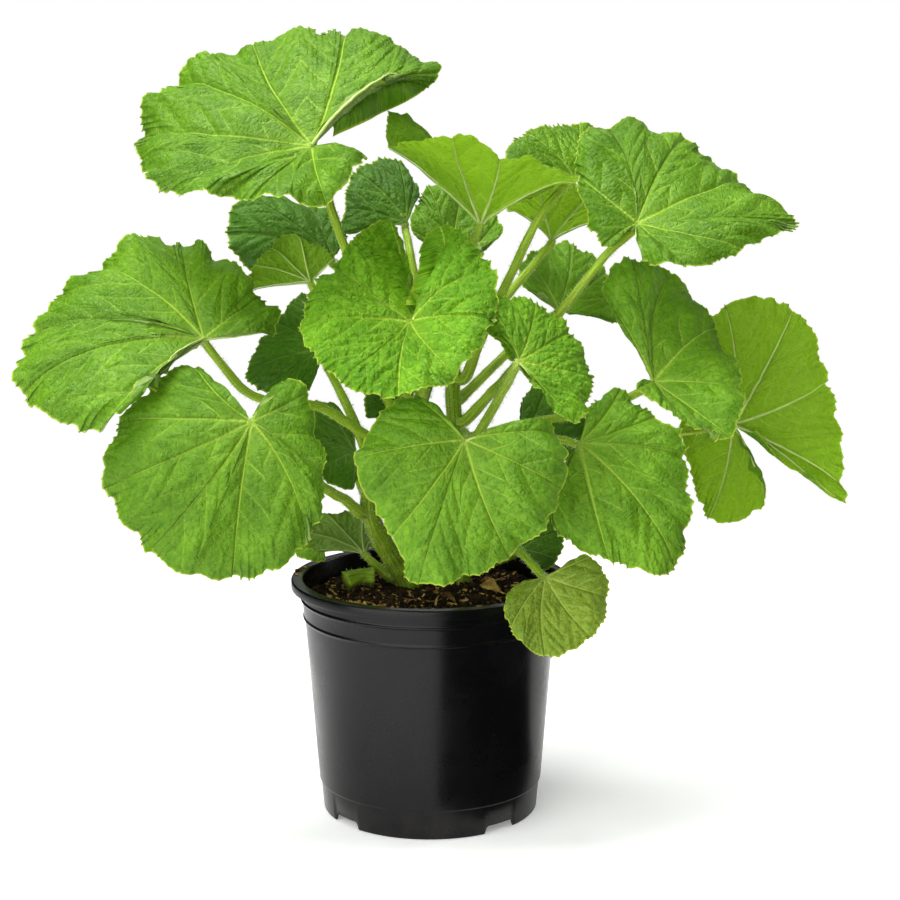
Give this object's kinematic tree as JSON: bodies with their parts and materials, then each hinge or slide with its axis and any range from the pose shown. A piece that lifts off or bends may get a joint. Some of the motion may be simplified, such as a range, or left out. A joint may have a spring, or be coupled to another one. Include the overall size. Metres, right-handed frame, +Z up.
{
  "type": "potted plant",
  "caption": "Young winter melon plant with broad lobed leaves on bristly stalks, growing in potting soil in a round tapered nursery pot with a rolled lip",
  "frame": {"origin": "on the pot's axis, at the surface that the pot stands on", "axes": "+Z up along the pot's axis; the plant's front faces -Y, and +X is to the right seen from the front"},
  "size_m": [0.475, 0.2406, 0.465],
  "materials": {
    "pot_plastic": "black injection moulded polypropylene, satin, faint mould lines and scuffs",
    "soil": "moist bark and peat potting mix with tan bark crumbs and pale grit",
    "leaf": "living leaf, matt and slightly puckered, paler veins, toothed edge, lighter underside that lets light through",
    "stem": "living green stem, finely ribbed, with short pale bristles"
  },
  "bodies": {
    "root": {"pot": "pot_plastic", "soil": "soil", "stem_main": "stem", "stem_second": "stem", "stalk_stub": "stem", "leaf_01_blade": "leaf", "leaf_02_blade": "leaf", "leaf_03_blade": "leaf", "leaf_04_blade": "leaf", "leaf_05_blade": "leaf", "leaf_06_blade": "leaf", "leaf_07_blade": "leaf", "leaf_08_blade": "leaf", "leaf_09_blade": "leaf", "leaf_10_blade": "leaf", "leaf_11_blade": "leaf", "leaf_12_blade": "leaf", "leaf_13_blade": "leaf", "leaf_14_blade": "leaf", "leaf_15_blade": "leaf", "leaf_16_blade": "leaf", "leaf_17_blade": "leaf", "leaf_18_blade": "leaf", "leaf_19_blade": "leaf", "leaf_20_blade": "leaf", "leaf_21_blade": "leaf", "leaf_22_blade": "leaf", "leaf_23_blade": "leaf", "leaf_24_blade": "leaf", "leaf_25_blade": "leaf", "leaf_26_blade": "leaf", "leaf_27_blade": "leaf", "leaf_01_stalk": "stem", "leaf_02_stalk": "stem", "leaf_03_stalk": "stem", "leaf_04_stalk": "stem", "leaf_05_stalk": "stem", "leaf_06_stalk": "stem", "leaf_07_stalk": "stem", "leaf_08_stalk": "stem", "leaf_09_stalk": "stem", "leaf_10_stalk": "stem", "leaf_11_stalk": "stem", "leaf_12_stalk": "stem", "leaf_13_stalk": "stem", "leaf_14_stalk": "stem", "leaf_15_stalk": "stem", "leaf_16_stalk": "stem", "leaf_17_stalk": "stem", "leaf_18_stalk": "stem", "leaf_19_stalk": "stem", "leaf_20_stalk": "stem", "leaf_21_stalk": "stem", "leaf_22_stalk": "stem", "leaf_23_stalk": "stem", "leaf_24_stalk": "stem", "leaf_25_stalk": "stem", "leaf_26_stalk": "stem", "leaf_27_stalk": "stem"}
  },
  "joints": []
}
